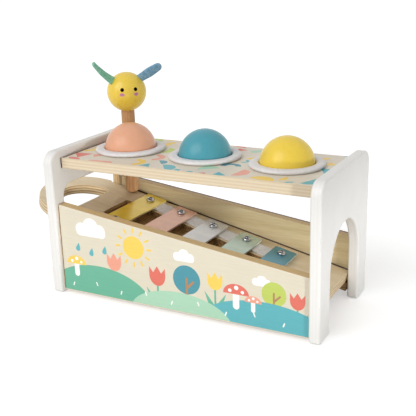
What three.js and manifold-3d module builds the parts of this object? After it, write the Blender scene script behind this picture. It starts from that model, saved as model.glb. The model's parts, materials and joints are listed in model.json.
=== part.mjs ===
// A pounding xylophone: a bench with three balls in rubber rings, a sloping xylophone on a
// sliding board that draws out by its loop, and a mallet that stands in a hole of the top board.
// Millimetres, +Z up, +X to the right, the front at -Y, standing on Z = 0.
import * as THREE from 'three';
import { mergeVertices } from 'three/addons/utils/BufferGeometryUtils.js';
import Module from 'manifold-3d';

const wasm = await Module();
wasm.setup();

// Bench
const BENCH_LENGTH = 271; // over the outer faces of the side panels
const SIDE_DEPTH = 125;
const SIDE_HEIGHT = 138.3;
const SIDE_THICKNESS = 10;
const SIDE_CORNER = 12; // radius of the two upper corners
const FOOT_CORNER = 3.5;
const SIDE_EDGE = 2; // easing of the painted edges
const ARCH_WIDTH = 76; // the balls leave by the arch in the right side panel
const ARCH_HEIGHT = 89.5;
const DOOR_HEIGHT = 104; // the xylophone passes the door in the left side panel
const DOOR_CORNER = 9;
const DOOR_CLEARANCE = 0.8; // beside the sliding board

// Top board
const TOP_THICKNESS = 10;
const TOP_DROP = 6.9; // below the crests of the side panels
const TOP_FRONT_INSET = 14;
const TOP_REAR_INSET = 9;
const TOP_EDGE = 0.7;

// Front and back panels, both with a top edge that falls to the right
const PANEL_THICKNESS = 10;
const PANEL_INSET = 4; // behind the edges of the side panels
const PANEL_FLOOR_GAP = 3.5;
const PANEL_LEFT_HEIGHT = 89.3;
const PANEL_RIGHT_HEIGHT = 56.9;
const PANEL_CORNER = 3;
const PANEL_EDGE = 0.6;

// Balls and their rubber rings
const BALL_COUNT = 3;
const BALL_RADIUS = 24.2;
const BALL_LIFT = 2.2; // centre of a ball above the top board
const BALL_END_DISTANCE = 45.2; // outer balls from the inner faces of the side panels
const RING_WALL = 4.1; // of the collar, outside the ball
const RING_FLANGE = 4.9; // overlap of the flange on the board
const RING_HEIGHT = 4.2; // of the flange above the board
const RING_RIM = 0.8; // straight edge of the flange
const RING_OUTER_ROUND = 4.4;
const RING_INNER_ROUND = 2.3;
const RING_GRIP = 1.3; // the lip is this much smaller than the ball
const RING_LIP = 3.1; // height of the lip
const RING_CLEARANCE = 0.35; // to the ball at rest
const RING_FIT = 0.2; // collar in its hole

// Sliding board: its slope runs down to the right
const BOARD_LEFT_HEIGHT = 82.4; // top face at the left outer face of the bench
const BOARD_RIGHT_HEIGHT = 24.1; // top face at the inner face of the right side panel
const BOARD_THICKNESS = 10;
const BOARD_SIDE_GAP = 2.5; // to the front and back panels
const BOARD_CORNER = 2;
const BOARD_EDGE = 1;
const LOOP_REACH = 43.5; // along the slope, outside the bench
const LOOP_HOLE_RADIUS = 23.5;
const LOOP_WIDTH = 17.5; // of the wood at the far end of the loop
const LOOP_HOLE_DEPTH = 37.4; // from the round end of the hole to its straight side
const LOOP_HOLE_CORNER = 5;
const RUNNER_WIDTH = 8;
const RUNNER_HEIGHT = 8;

// Keys, from the longest at the left to the shortest at the right
const KEY_NAMES = ['yellow', 'pink', 'white', 'mint', 'blue'];
const KEY_COLOURS = [0xd9bb43, 0xd0a48c, 0xcac8c4, 0xabbcae, 0x4d8a9b];
const KEY_WIDTH = 22;
const KEY_THICKNESS = 2.2;
const KEY_CORNER = 1.5;
const KEY_EDGE = 0.4;
const KEY_END_MARGIN = 4.8; // ends of the longest key to the edges of the board
const KEY_SHORTENING = 2.25; // at each end, from key to key
const FIRST_KEY = 59; // along the slope from the left outer face of the bench
const LAST_KEY = 59.7; // along the slope from the right end of the board

// Sound pocket under the keys, and the felt strips beside it
const POCKET_DEPTH = 6;
const POCKET_WIDE = 37.5; // width at the left end
const POCKET_NARROW = 13.8; // width at the right end
const POCKET_LEAD = 21.5; // before the middle of the first key
const POCKET_TAIL = 7; // before the middle of the last key
const POCKET_CORNER = 3;
const FELT_THICKNESS = 1.5;
const FELT_MARGIN = 2.8; // to the pocket
const FELT_INSET = 3.2; // from the end of the longest key
const FELT_STEP = 2.7; // the outer edges draw together from key to key
const FELT_END = 9; // past the middle of the outer keys

// Round-headed screws that hold the keys
const SCREW_HEAD_RADIUS = 3.65;
const SCREW_HEAD_HEIGHT = 3;
const SCREW_RIM = 0.9; // straight part of the head
const SCREW_RADIUS = 1.7;
const SCREW_TIP = 2.5;
const SCREW_GRIP = 6.5; // length in the board
const SCREW_CLEARANCE = 0.4; // round the shank
const SCREW_SLOT_LENGTH = 4.2;
const SCREW_SLOT_WIDTH = 0.9;
const SCREW_SLOT_DEPTH = 1.3;
const BACK_SCREW_INSET = 14.3; // from the end of the longest key
const BACK_SCREW_STEP = 1.8;
const FRONT_SCREW_INSET = 7.7;
const FRONT_SCREW_STEP = 2.7;

// Mallet
const MALLET_FROM_LEFT = 19.4; // axis from the inner face of the left side panel
const MALLET_PANEL_GAP = 2.35; // between the handle and the back panel
const MALLET_TURN = THREE.MathUtils.degToRad(33); // the face looks to the front right
const HANDLE_RADIUS = 6.65;
const HANDLE_ROUND = 2.6; // of its foot
const HANDLE_FIT = 0.4; // in the hole of the top board
const HANDLE_CLEARANCE = 0.4; // of its foot above the keys as they pass
const HEAD_RADIUS = 19.4;
const HEAD_HEIGHT = 48.6; // middle of the head above the top board
const HEAD_BORE = 11; // depth of the handle in the head
const HEAD_FIT = 0.15;
const EAR_THICKNESS = 3;
const EAR_WIDTH = 9;
const EAR_ROOT_WIDTH = 7.5;
const EAR_LENGTH = 24; // outside the head
const EAR_SUNK = 4; // trimmed away where the ear meets the head
const EAR_EDGE = 0.6;
const EARS = [
  { side: 'left', rootAngle: 36, leanAngle: 42, twist: 52, colour: 0x7cbca2 },
  { side: 'right', rootAngle: 46, leanAngle: 31, twist: 0, colour: 0x6ba0b6 },
]; // angles in degrees, above the horizontal

// Glued dowels
const DOWEL_RADIUS = 3;
const DOWEL_LENGTH = 20;
const DOWEL_SKIN = 2.7; // wood left between a dowel hole and the outside
const DOWEL_FIT = 0.1;
const TOP_DOWEL_SPREAD = 50;
const PANEL_DOWEL_LOW = 20; // above the floor
const PANEL_DOWEL_DROP = 18; // below the ends of the panel's top edge

// Gaps
const GLUE_GAP = 0.1;
const SEAT_GAP = 0.3;

// Facets
const ARC_STEP = THREE.MathUtils.degToRad(11.25);
const SMALL_ARC_STEP = THREE.MathUtils.degToRad(30);
const SMALL_ARC = 8; // radius below which an arc takes the small step
const ROUND_SIDES = 32;
const BALL_SIDES = 24;
const STICK_SIDES = 24;
const SMALL_SIDES = 12;

// Derived places, in a frame with its origin on the floor in the middle of the bench
const innerFace = BENCH_LENGTH / 2 - SIDE_THICKNESS;
const topFace = SIDE_HEIGHT - TOP_DROP;
const topMiddle = (TOP_FRONT_INSET - TOP_REAR_INSET) / 2;
const panelFace = SIDE_DEPTH / 2 - PANEL_INSET - PANEL_THICKNESS;
const boardHalf = panelFace - BOARD_SIDE_GAP;
const slopeRun = BENCH_LENGTH - SIDE_THICKNESS;
const slopeAngle = Math.atan2(BOARD_LEFT_HEIGHT - BOARD_RIGHT_HEIGHT, slopeRun);
const boardEnd = (slopeRun - SEAT_GAP) / Math.cos(slopeAngle);
const feltBase = SEAT_GAP;
const keyBase = feltBase + FELT_THICKNESS + SEAT_GAP;
const keyTop = keyBase + KEY_THICKNESS;
const keyHalf = boardHalf - KEY_END_MARGIN;
const keyPitch = (boardEnd - LAST_KEY - FIRST_KEY) / (KEY_NAMES.length - 1);
const ringHole = BALL_RADIUS + RING_WALL + RING_FIT;
const malletX = MALLET_FROM_LEFT - innerFace;
const malletY = panelFace - MALLET_PANEL_GAP - HANDLE_RADIUS;

// Solids and cuts
function toSolid(geometry) {
  const bare = geometry.clone();
  bare.deleteAttribute('normal');
  bare.deleteAttribute('uv');
  const merged = mergeVertices(bare, 1e-4);
  const index = merged.index.array;
  const triangles = [];
  for (let i = 0; i < index.length; i += 3) {
    const [a, b, c] = index.slice(i, i + 3);
    if (a !== b && b !== c && c !== a) triangles.push(a, b, c);
  }
  return new wasm.Manifold(new wasm.Mesh({
    numProp: 3,
    vertProperties: new Float32Array(merged.attributes.position.array),
    triVerts: new Uint32Array(triangles),
  }));
}

function toGeometry(solid) {
  const mesh = solid.getMesh();
  const geometry = new THREE.BufferGeometry();
  geometry.setAttribute('position', new THREE.BufferAttribute(mesh.vertProperties, 3));
  geometry.setIndex(new THREE.BufferAttribute(mesh.triVerts, 1));
  geometry.computeVertexNormals();
  return geometry;
}

function cut(geometry, tools) {
  return toGeometry(tools.reduce((solid, tool) => solid.subtract(toSolid(tool)), toSolid(geometry)));
}

// A closed outline through corners [x, y, radius], with its corners rounded
function outline(corners) {
  const points = [];
  const add = (point) => {
    const repeated = [points.at(-1), points[0]].some((other) => other && other.distanceTo(point) < 1e-4);
    if (!repeated) points.push(point);
  };
  corners.forEach(([x, y, radius = 0], i) => {
    const corner = new THREE.Vector2(x, y);
    const [before, after] = [corners.at(i - 1), corners[(i + 1) % corners.length]]
      .map(([px, py]) => new THREE.Vector2(px, py).sub(corner).normalize());
    if (radius === 0) {
      add(corner);
      return;
    }
    const half = before.angleTo(after) / 2;
    const reach = radius / Math.tan(half);
    const centre = before.clone().add(after).setLength(radius / Math.sin(half)).add(corner);
    const start = before.clone().multiplyScalar(reach).add(corner).sub(centre).angle();
    const end = after.clone().multiplyScalar(reach).add(corner).sub(centre).angle();
    const turn = Math.atan2(Math.sin(end - start), Math.cos(end - start));
    const steps = Math.max(2, Math.round(Math.abs(turn) / (radius < SMALL_ARC ? SMALL_ARC_STEP : ARC_STEP)));
    for (let k = 0; k <= steps; k += 1) {
      const angle = start + (turn * k) / steps;
      add(new THREE.Vector2(centre.x + radius * Math.cos(angle), centre.y + radius * Math.sin(angle)));
    }
  });
  return points;
}

function circle(x, y, radius, sides) {
  return Array.from({ length: sides }, (_, i) => {
    const angle = (2 * Math.PI * i) / sides;
    return new THREE.Vector2(x + radius * Math.cos(angle), y + radius * Math.sin(angle));
  });
}

// A plate from z = 0 to its thickness, with eased edges
function plate(points, thickness, edge = 0, edgeSteps = 1, holes = []) {
  const shape = new THREE.Shape(points);
  shape.holes = holes.map((hole) => new THREE.Path(hole));
  return new THREE.ExtrudeGeometry(shape, {
    depth: thickness - 2 * edge,
    bevelEnabled: edge > 0,
    bevelThickness: edge,
    bevelSize: edge,
    bevelOffset: -edge,
    bevelSegments: edgeSteps,
  }).translate(0, 0, edge);
}

// A body of revolution about Z, from a profile of [radius, height]
function turned(profile, sides) {
  const points = profile.map(([radius, height]) => new THREE.Vector2(radius, height));
  return new THREE.LatheGeometry(points, sides).rotateX(Math.PI / 2);
}

function rod(radius, length, sides) {
  return new THREE.CylinderGeometry(radius, radius, length, sides).rotateX(Math.PI / 2);
}

function sphere(radius) {
  return new THREE.SphereGeometry(radius, BALL_SIDES, BALL_SIDES / 2).rotateX(Math.PI / 2);
}

function piece(name, geometry, colour, roughness, metalness = 0) {
  const material = new THREE.MeshStandardMaterial({ color: colour, roughness, metalness });
  const mesh = new THREE.Mesh(geometry, material);
  mesh.name = name;
  return mesh;
}

const WHITE_PAINT = 0xf3f1ed;
const PRINTED_BOARD = 0xddd5c6;
const PRINTED_PANEL = 0xeee3d0;
const PLYWOOD = 0xd2b98a;
const RUBBER = 0xf2efec;
const FELT = 0xdcd6d2;
const STEEL = 0xb9babb;
const STICK = 0xb98f63;
const HEAD_PAINT = 0xe2bf4a;
const BALL_COLOURS = { left: 0xe4aa8b, middle: 0x4fa9b9, right: 0xedc84b };

const toy = new THREE.Group();

// Dowels lie along X between a side panel and the end of a board
const dowelPlaces = [];
for (const [side, sign] of [['left', -1], ['right', 1]]) {
  const panelHeight = side === 'left' ? PANEL_LEFT_HEIGHT : PANEL_RIGHT_HEIGHT;
  const x = sign * (BENCH_LENGTH / 2 - DOWEL_SKIN - SEAT_GAP - DOWEL_LENGTH / 2);
  const topHeight = topFace - TOP_THICKNESS / 2;
  const panelMiddle = panelFace + PANEL_THICKNESS / 2;
  for (const [end, along] of [['front', -1], ['back', 1]]) {
    const topY = topMiddle + (along * TOP_DOWEL_SPREAD) / 2;
    dowelPlaces.push({ name: `top_dowel_${side}_${end}`, board: 'top', side, x, y: topY, z: topHeight });
    for (const [level, z] of [['low', PANEL_DOWEL_LOW], ['high', panelHeight - PANEL_DOWEL_DROP]]) {
      const y = along * panelMiddle;
      dowelPlaces.push({ name: `${end}_dowel_${side}_${level}`, board: end, side, x, y, z });
    }
  }
}

function dowelHoles(belongs) {
  const length = DOWEL_LENGTH + 2 * SEAT_GAP;
  return dowelPlaces.filter(belongs).map(({ x, y, z }) => (
    rod(DOWEL_RADIUS + DOWEL_FIT, length, SMALL_SIDES).rotateY(Math.PI / 2).translate(x, y, z)));
}

for (const { name, x, y, z } of dowelPlaces) {
  const dowel = piece(name, rod(DOWEL_RADIUS, DOWEL_LENGTH, SMALL_SIDES), PLYWOOD, 0.7);
  dowel.rotation.y = Math.PI / 2;
  dowel.position.set(x, y, z);
  toy.add(dowel);
}

// Side panels: a rounded board with an opening that leaves two feet
function sidePanel(side, openingWidth, openingHeight, openingCorner) {
  const half = SIDE_DEPTH / 2;
  const gap = openingWidth / 2;
  const points = outline([
    [-half, 0, FOOT_CORNER], [-gap, 0, FOOT_CORNER], [-gap, openingHeight, openingCorner],
    [gap, openingHeight, openingCorner], [gap, 0, FOOT_CORNER], [half, 0, FOOT_CORNER],
    [half, SIDE_HEIGHT, SIDE_CORNER], [-half, SIDE_HEIGHT, SIDE_CORNER],
  ]);
  const acrossX = new THREE.Matrix4().makeBasis(
    new THREE.Vector3(0, 1, 0), new THREE.Vector3(0, 0, 1), new THREE.Vector3(1, 0, 0));
  const start = side === 'left' ? -BENCH_LENGTH / 2 : innerFace;
  const board = plate(points, SIDE_THICKNESS, SIDE_EDGE, 2).applyMatrix4(acrossX).translate(start, 0, 0);
  const panel = cut(board, dowelHoles((place) => place.side === side));
  return piece(`${side}_side_panel`, panel, WHITE_PAINT, 0.45);
}
toy.add(sidePanel('left', 2 * (boardHalf + DOOR_CLEARANCE), DOOR_HEIGHT, DOOR_CORNER));
toy.add(sidePanel('right', ARCH_WIDTH, ARCH_HEIGHT, ARCH_WIDTH / 2));

// Top board, with its ring holes and the mallet's hole
const ballPitch = (2 * (innerFace - BALL_END_DISTANCE)) / (BALL_COUNT - 1);
const ballNames = Object.keys(BALL_COLOURS);
const ballX = ballNames.map((_, i) => (i - (BALL_COUNT - 1) / 2) * ballPitch);
{
  const reach = innerFace - GLUE_GAP;
  const front = TOP_FRONT_INSET - SIDE_DEPTH / 2;
  const rear = SIDE_DEPTH / 2 - TOP_REAR_INSET;
  const points = outline([[-reach, front], [reach, front], [reach, rear], [-reach, rear]]);
  const malletHole = circle(malletX, malletY, HANDLE_RADIUS + HANDLE_FIT, STICK_SIDES);
  const board = plate(points, TOP_THICKNESS, TOP_EDGE, 1, [malletHole])
    .translate(0, 0, topFace - TOP_THICKNESS);
  const ringHoles = ballX.map((x) => (
    rod(ringHole, 3 * TOP_THICKNESS, ROUND_SIDES).translate(x, topMiddle, topFace)));
  const tools = [...ringHoles, ...dowelHoles((place) => place.board === 'top')];
  toy.add(piece('top_board', cut(board, tools), PRINTED_BOARD, 0.5));
}

// Rubber rings: a round flange on the board, a collar in the hole and a lip that grips the ball
function ringGeometry() {
  const collar = ringHole - RING_FIT;
  const flange = ringHole + RING_FLANGE;
  const lip = BALL_RADIUS - RING_GRIP;
  const seat = BALL_RADIUS + RING_CLEARANCE;
  const seatTop = RING_HEIGHT - RING_INNER_ROUND;
  const lipTop = BALL_LIFT - Math.sqrt(seat ** 2 - lip ** 2);
  const bottom = lipTop - RING_LIP;
  const quarter = [0, 1, 2, 3].map((k) => (k * Math.PI) / 6);
  const outerRound = quarter.map((angle) => [
    flange - RING_OUTER_ROUND * (1 - Math.cos(angle)),
    RING_RIM + (RING_HEIGHT - RING_RIM) * Math.sin(angle),
  ]);
  const innerRound = quarter.map((angle) => [
    seat + RING_INNER_ROUND * (1 - Math.sin(angle)),
    seatTop + RING_INNER_ROUND * Math.cos(angle),
  ]);
  const seatCurve = [1 / 3, 2 / 3].map((share) => {
    const height = seatTop + share * (lipTop - seatTop);
    return [Math.sqrt(seat ** 2 - (height - BALL_LIFT) ** 2), height];
  });
  return turned([
    [collar, bottom], [collar, GLUE_GAP], [flange, GLUE_GAP], ...outerRound, ...innerRound,
    ...seatCurve, [lip, lipTop], [lip, bottom], [collar, bottom],
  ], ROUND_SIDES);
}

ballNames.forEach((name, i) => {
  const ring = piece(`ball_ring_${name}`, ringGeometry(), RUBBER, 0.5);
  ring.position.set(ballX[i], topMiddle, topFace);
  toy.add(ring);
  const ball = piece(`ball_${name}`, sphere(BALL_RADIUS), BALL_COLOURS[name], 0.35);
  ball.position.set(ballX[i], topMiddle, topFace + BALL_LIFT);
  toy.add(ball);
});

// Front and back panels
for (const [end, along, colour] of [['front', -1, PRINTED_PANEL], ['back', 1, PLYWOOD]]) {
  const reach = innerFace - GLUE_GAP;
  const points = outline([
    [-reach, PANEL_FLOOR_GAP, PANEL_CORNER], [reach, PANEL_FLOOR_GAP, PANEL_CORNER],
    [reach, PANEL_RIGHT_HEIGHT, PANEL_CORNER], [-reach, PANEL_LEFT_HEIGHT, PANEL_CORNER],
  ]);
  const nearFace = along > 0 ? panelFace + PANEL_THICKNESS : -panelFace;
  const board = plate(points, PANEL_THICKNESS, PANEL_EDGE).rotateX(Math.PI / 2).translate(0, nearFace, 0);
  toy.add(piece(`${end}_panel`, cut(board, dowelHoles((place) => place.board === end)), colour, 0.5));
}

// Everything on the slope has X down the slope from the left outer face, and Z square to the board
const slope = new THREE.Group();
slope.position.set(-BENCH_LENGTH / 2, 0, BOARD_LEFT_HEIGHT);
slope.rotation.y = slopeAngle;
toy.add(slope);

// Runners under the sliding board, glued to the panels
{
  const top = -BOARD_THICKNESS - SEAT_GAP;
  const bottom = top - RUNNER_HEIGHT;
  const left = (SIDE_THICKNESS + SEAT_GAP - bottom * Math.sin(slopeAngle)) / Math.cos(slopeAngle);
  const right = (slopeRun - SEAT_GAP - top * Math.sin(slopeAngle)) / Math.cos(slopeAngle);
  for (const [end, along] of [['front', -1], ['back', 1]]) {
    const bar = new THREE.BoxGeometry(right - left, RUNNER_WIDTH, RUNNER_HEIGHT);
    const strip = piece(`${end}_runner`, bar, PLYWOOD, 0.6);
    const y = along * (panelFace - SEAT_GAP - RUNNER_WIDTH / 2);
    strip.position.set((left + right) / 2, y, (top + bottom) / 2);
    slope.add(strip);
  }
}

// Keys and the places of their screws
const keys = KEY_NAMES.map((name, i) => {
  const backScrew = keyHalf - BACK_SCREW_INSET - i * BACK_SCREW_STEP;
  const frontScrew = FRONT_SCREW_INSET - keyHalf + i * FRONT_SCREW_STEP;
  return {
    name,
    along: FIRST_KEY + i * keyPitch,
    half: keyHalf - i * KEY_SHORTENING,
    colour: KEY_COLOURS[i],
    screws: { front: frontScrew, back: backScrew },
  };
});
const firstKey = keys[0].along;
const lastKey = keys.at(-1).along;
const pocketStart = firstKey - POCKET_LEAD;
const pocketEnd = lastKey - POCKET_TAIL;
const pocketHalf = (along) => (
  THREE.MathUtils.mapLinear(along, pocketStart, pocketEnd, POCKET_WIDE, POCKET_NARROW) / 2);

function screwHoles(end) {
  const length = 2 * (SCREW_GRIP + SEAT_GAP);
  return keys.map(({ along, screws }) => (
    rod(SCREW_RADIUS + SCREW_CLEARANCE, length, SMALL_SIDES).translate(along, screws[end], 0)));
}

// Sliding board: a loop at the left, the pocket under the keys and the screws' holes
{
  const loopEnd = -LOOP_REACH;
  const holeEnd = loopEnd + LOOP_WIDTH;
  const holeSide = holeEnd + LOOP_HOLE_DEPTH;
  const points = outline([
    [loopEnd, -boardHalf, boardHalf], [boardEnd, -boardHalf, BOARD_CORNER],
    [boardEnd, boardHalf, BOARD_CORNER], [loopEnd, boardHalf, boardHalf],
  ]);
  const hole = outline([
    [holeEnd, -LOOP_HOLE_RADIUS, LOOP_HOLE_RADIUS], [holeSide, -LOOP_HOLE_RADIUS, LOOP_HOLE_CORNER],
    [holeSide, LOOP_HOLE_RADIUS, LOOP_HOLE_CORNER], [holeEnd, LOOP_HOLE_RADIUS, LOOP_HOLE_RADIUS],
  ]);
  const board = plate(points, BOARD_THICKNESS, BOARD_EDGE, 1, [hole]).translate(0, 0, -BOARD_THICKNESS);
  const [wide, narrow] = [pocketStart, pocketEnd].map(pocketHalf);
  const pocket = plate(outline([
    [pocketStart, -wide, POCKET_CORNER], [pocketEnd, -narrow, POCKET_CORNER],
    [pocketEnd, narrow, POCKET_CORNER], [pocketStart, wide, POCKET_CORNER],
  ]), 2 * POCKET_DEPTH).translate(0, 0, -POCKET_DEPTH);
  const pilots = [...screwHoles('front'), ...screwHoles('back')];
  slope.add(piece('xylophone_board', cut(board, [pocket, ...pilots]), PLYWOOD, 0.6));
}

// Felt strips, with a hole for each screw
for (const [end, side] of [['front', -1], ['back', 1]]) {
  const start = firstKey - FELT_END;
  const stop = lastKey + FELT_END;
  const inner = (along) => side * (pocketHalf(along) + FELT_MARGIN);
  const outer = (along) => side * (keyHalf - FELT_INSET - ((along - firstKey) / keyPitch) * FELT_STEP);
  const points = outline([
    [start, inner(start)], [stop, inner(stop)], [stop, outer(stop)], [start, outer(start)],
  ]);
  const strip = plate(points, FELT_THICKNESS).translate(0, 0, feltBase);
  slope.add(piece(`${end}_felt`, cut(strip, screwHoles(end)), FELT, 0.95));
}

// Screws: a round head with a cross, a shank and a point
function screwGeometry() {
  const length = keyTop + SEAT_GAP + SCREW_GRIP;
  const profile = [[0, -length], [SCREW_RADIUS, SCREW_TIP - length], [SCREW_RADIUS, 0]];
  profile.push([SCREW_HEAD_RADIUS, 0]);
  for (const angle of [0, 1, 2, 3].map((k) => (k * Math.PI) / 8)) {
    const dome = (SCREW_HEAD_HEIGHT - SCREW_RIM) * Math.sin(angle);
    profile.push([SCREW_HEAD_RADIUS * Math.cos(angle), SCREW_RIM + dome]);
  }
  profile.push([0, SCREW_HEAD_HEIGHT]);
  const slots = [[SCREW_SLOT_LENGTH, SCREW_SLOT_WIDTH], [SCREW_SLOT_WIDTH, SCREW_SLOT_LENGTH]];
  const cross = slots.map(([dx, dy]) => (
    new THREE.BoxGeometry(dx, dy, 2 * SCREW_SLOT_DEPTH).translate(0, 0, SCREW_HEAD_HEIGHT)));
  return cut(turned(profile, SMALL_SIDES), cross);
}
const screw = screwGeometry();

for (const { name, along, half, colour, screws } of keys) {
  const side = KEY_WIDTH / 2;
  const corners = [[-side, -half], [side, -half], [side, half], [-side, half]];
  const holes = Object.values(screws).map((y) => circle(0, y, SCREW_RADIUS + SCREW_CLEARANCE, SMALL_SIDES));
  const points = outline(corners.map((corner) => [...corner, KEY_CORNER]));
  const bar = plate(points, KEY_THICKNESS, KEY_EDGE, 1, holes);
  const key = piece(`key_${name}`, bar, colour, 0.35, 0.3);
  key.position.set(along, 0, keyBase);
  slope.add(key);
  for (const [end, y] of Object.entries(screws)) {
    const mesh = piece(`key_screw_${name}_${end}`, screw.clone(), STEEL, 0.3, 1);
    mesh.position.set(along, y, keyTop + SEAT_GAP);
    slope.add(mesh);
  }
}

// Mallet: its foot stands clear of the keys, so the xylophone slides out under it
const mallet = new THREE.Group();
const headMiddle = topFace + HEAD_HEIGHT;
mallet.position.set(malletX, malletY, headMiddle);
mallet.rotation.z = MALLET_TURN;
toy.add(mallet);
{
  const flat = HANDLE_RADIUS - HANDLE_ROUND;
  const nearest = malletX + BENCH_LENGTH / 2 - flat;
  const keyPath = BOARD_LEFT_HEIGHT - nearest * Math.tan(slopeAngle) + keyTop / Math.cos(slopeAngle);
  const foot = keyPath + HANDLE_CLEARANCE - headMiddle;
  const head = HEAD_BORE - HEAD_RADIUS;
  const profile = [[0, foot]];
  for (const angle of [0, 1, 2, 3].map((k) => (k * Math.PI) / 6)) {
    profile.push([flat + HANDLE_ROUND * Math.sin(angle), foot + HANDLE_ROUND * (1 - Math.cos(angle))]);
  }
  profile.push([HANDLE_RADIUS, head], [0, head]);
  mallet.add(piece('mallet_handle', turned(profile, STICK_SIDES), STICK, 0.5));

  const boreLength = 2 * (HEAD_BORE + SEAT_GAP);
  const bore = rod(HANDLE_RADIUS + HEAD_FIT, boreLength, STICK_SIDES).translate(0, 0, -HEAD_RADIUS);
  mallet.add(piece('mallet_head', cut(sphere(HEAD_RADIUS), [bore]), HEAD_PAINT, 0.4));

  // Felt ears: flat straps, turned about their length and trimmed to the head
  const clear = sphere(HEAD_RADIUS + SEAT_GAP);
  for (const { side, rootAngle, leanAngle, twist, colour } of EARS) {
    const [root, lean, turn] = [rootAngle, leanAngle, 90 + twist].map(THREE.MathUtils.degToRad);
    const [rootHalf, half, middle] = [EAR_ROOT_WIDTH / 2, EAR_WIDTH / 2, EAR_LENGTH / 2];
    const strap = plate(outline([
      [-EAR_SUNK, -rootHalf], [middle, -half], [EAR_LENGTH, -half, half],
      [EAR_LENGTH, half, half], [middle, half], [-EAR_SUNK, rootHalf],
    ]), EAR_THICKNESS, EAR_EDGE).translate(0, 0, -EAR_THICKNESS / 2);
    strap.rotateX(turn).rotateY(-lean);
    strap.translate(HEAD_RADIUS * Math.cos(root), 0, HEAD_RADIUS * Math.sin(root));
    if (side === 'left') strap.rotateZ(Math.PI);
    mallet.add(piece(`mallet_ear_${side}`, cut(strap, [clear]), colour, 0.95));
  }
}

// The origin is on the floor in the middle of the whole outline
toy.updateMatrixWorld(true);
const whole = new THREE.Box3().setFromObject(toy, true);
toy.position.x = -(whole.min.x + whole.max.x) / 2;

export default toy;
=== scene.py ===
# A pounding xylophone: printed and painted plywood, painted balls in rubber rings, metal keys
# on felt, and a ball-headed mallet with felt ears. Lengths are in millimetres.

import json
import random
from math import acos, atan2, copysign, cos, degrees, hypot, pi, radians, sin, sqrt, tan

import bmesh
import bpy
from mathutils import Matrix, Vector, geometry


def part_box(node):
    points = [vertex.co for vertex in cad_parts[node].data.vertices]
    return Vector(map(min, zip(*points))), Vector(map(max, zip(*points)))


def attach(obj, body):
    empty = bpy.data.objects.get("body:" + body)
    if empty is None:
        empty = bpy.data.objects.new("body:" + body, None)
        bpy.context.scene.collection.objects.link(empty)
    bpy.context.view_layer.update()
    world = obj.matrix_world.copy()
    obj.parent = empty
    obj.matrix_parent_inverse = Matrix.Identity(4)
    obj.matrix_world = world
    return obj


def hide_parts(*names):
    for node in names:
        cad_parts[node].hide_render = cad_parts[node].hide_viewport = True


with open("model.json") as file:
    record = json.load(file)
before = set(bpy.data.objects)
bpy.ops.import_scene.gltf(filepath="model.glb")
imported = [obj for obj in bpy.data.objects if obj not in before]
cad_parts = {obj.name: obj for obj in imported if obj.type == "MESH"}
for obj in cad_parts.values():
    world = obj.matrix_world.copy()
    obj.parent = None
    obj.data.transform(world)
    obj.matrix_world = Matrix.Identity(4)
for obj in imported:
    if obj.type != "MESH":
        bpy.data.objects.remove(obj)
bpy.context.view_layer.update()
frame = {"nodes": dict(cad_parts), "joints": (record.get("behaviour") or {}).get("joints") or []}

MM = 0.001


def box_mm(node):
    """Lowest and highest corner of a node, in millimetres."""
    return [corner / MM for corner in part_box(node)]


# Sizes read from the frame
left_low, left_high = box_mm("left_side_panel")
right_low, right_high = box_mm("right_side_panel")
top_low, top_high = box_mm("top_board")
front_low, front_high = box_mm("front_panel")
back_low, back_high = box_mm("back_panel")
head_low, head_high = box_mm("mallet_head")
handle_low, handle_high = box_mm("mallet_handle")

SIDE_DEPTH = left_high.y - left_low.y
SIDE_HEIGHT = left_high.z
SIDE_THICKNESS = left_high.x - left_low.x
TOP_THICKNESS = top_high.z - top_low.z
PANEL_THICKNESS = front_high.y - front_low.y
slide = next(joint for joint in frame["joints"] if joint["name"] == "xylophone_slide")
SLOPE = atan2(slide["axis"][2], -slide["axis"][0])

# Side panels
SIDE_CORNER = 12
FOOT_CORNER = 3.5
SIDE_EDGE = 2
ARCH_WIDTH = 76
ARCH_HEIGHT = 89.5
DOOR_WIDTH = 93.6
DOOR_HEIGHT = 104
DOOR_CORNER = 11

# Top board, front and back panels
TOP_EDGE = 0.7
PANEL_RIGHT_HEIGHT = 56.9
PANEL_CORNER = 2.2
PLAIN_CORNER = 1
PANEL_EDGE = 0.8
# Width of the painted shade line at the front panel's left end.
SHADE_LINE_WIDTH = 0.8
GROOVE_BELOW = 1.2
GROOVE_ABOVE = 0.25
GROOVE_DEPTH = 6
GROOVE_LEAD = 3
GROOVE_END = 2

# Balls and rings
BALL_NAMES = ("left", "middle", "right")
BALL_LIFT = 2.2
RING_HOLE = 28.5
RING_COLLAR = 28.3
RING_FLANGE = 33.4
RING_HEIGHT = 4.2
RING_RIM = 2.2
RING_OUTER_ROUND = 4.4
RING_UNDER_ROUND = 2.6
RING_INNER_ROUND = 2.3
RING_SEAT = 24.55
RING_LIP = 22.9
RING_LIP_HEIGHT = 3.1
RING_STEPS = 8
SEAM = 0.1

# Sliding board, in its own frame: X down the slope, Z square to the board
BOARD_LEFT_HEIGHT = 82.4
BOARD_THICKNESS = 10
BOARD_HALF = 46
BOARD_CORNER = 2
BOARD_EDGE = 1
BOARD_END = 267.13
LOOP_START = -2
LOOP_MIDDLE = 6
LOOP_RADII = (47.4, 51.4)
LOOP_SHIFT = -2.4
HOLE_END = -21.2
HOLE_SIDE = 12.2
HOLE_RADIUS = 29.6
HOLE_SHIFT = -4.7
HOLE_CORNER = 3.5
POCKET_START = 37
POCKET_END = 200.43
POCKET_WIDE = 37.5
POCKET_NARROW = 13.8
POCKET_FRONT = 6
POCKET_CORNER = 3
POCKET_DEPTH = 6

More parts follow.
